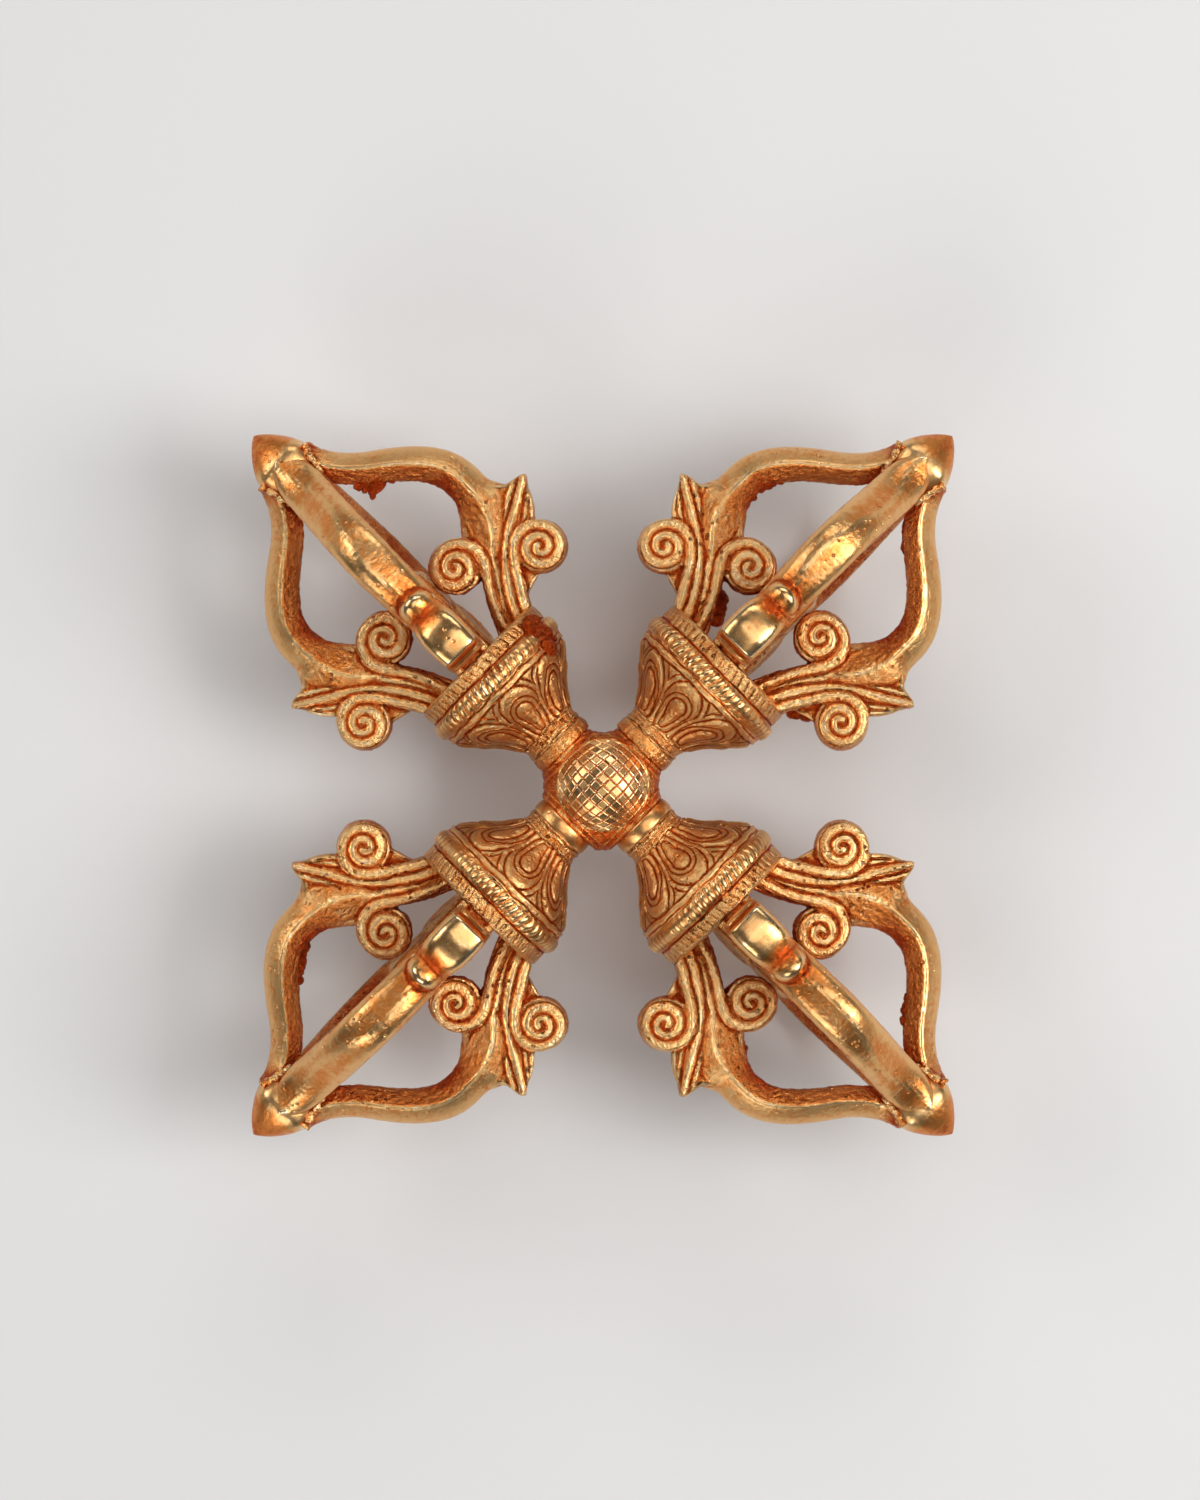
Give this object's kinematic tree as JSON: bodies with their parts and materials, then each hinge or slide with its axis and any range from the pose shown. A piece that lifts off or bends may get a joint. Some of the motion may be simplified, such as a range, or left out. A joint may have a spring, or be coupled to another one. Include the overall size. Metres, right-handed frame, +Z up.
{
  "type": "double dorje vajra",
  "caption": "crossed double vajra of gilded cast metal, four closed prong cages on lotus cups round an engraved ball hub, laid flat as an altar piece",
  "frame": {"origin": "on the table, under the middle of the hub", "axes": "+Z up, the four arms along +X (east), +Y (north), -X (west) and -Y (south)"},
  "size_m": [0.1, 0.1, 0.0296],
  "materials": {
    "polished_gilt": "polished gilding",
    "cast_gilt": "gilded casting with red patina in the recesses"
  },
  "bodies": {
    "root": {"hub": "polished_gilt", "neck_collar_east": "polished_gilt", "lotus_cup_east": "cast_gilt", "central_prong_east": "polished_gilt", "makara_prong_east_left": "cast_gilt", "makara_prong_east_upper": "cast_gilt", "makara_prong_east_right": "cast_gilt", "makara_prong_east_lower": "cast_gilt", "neck_collar_north": "polished_gilt", "lotus_cup_north": "cast_gilt", "central_prong_north": "polished_gilt", "makara_prong_north_left": "cast_gilt", "makara_prong_north_upper": "cast_gilt", "makara_prong_north_right": "cast_gilt", "makara_prong_north_lower": "cast_gilt", "neck_collar_west": "polished_gilt", "lotus_cup_west": "cast_gilt", "central_prong_west": "polished_gilt", "makara_prong_west_left": "cast_gilt", "makara_prong_west_upper": "cast_gilt", "makara_prong_west_right": "cast_gilt", "makara_prong_west_lower": "cast_gilt", "neck_collar_south": "polished_gilt", "lotus_cup_south": "cast_gilt", "central_prong_south": "polished_gilt", "makara_prong_south_left": "cast_gilt", "makara_prong_south_upper": "cast_gilt", "makara_prong_south_right": "cast_gilt", "makara_prong_south_lower": "cast_gilt"}
  },
  "joints": []
}
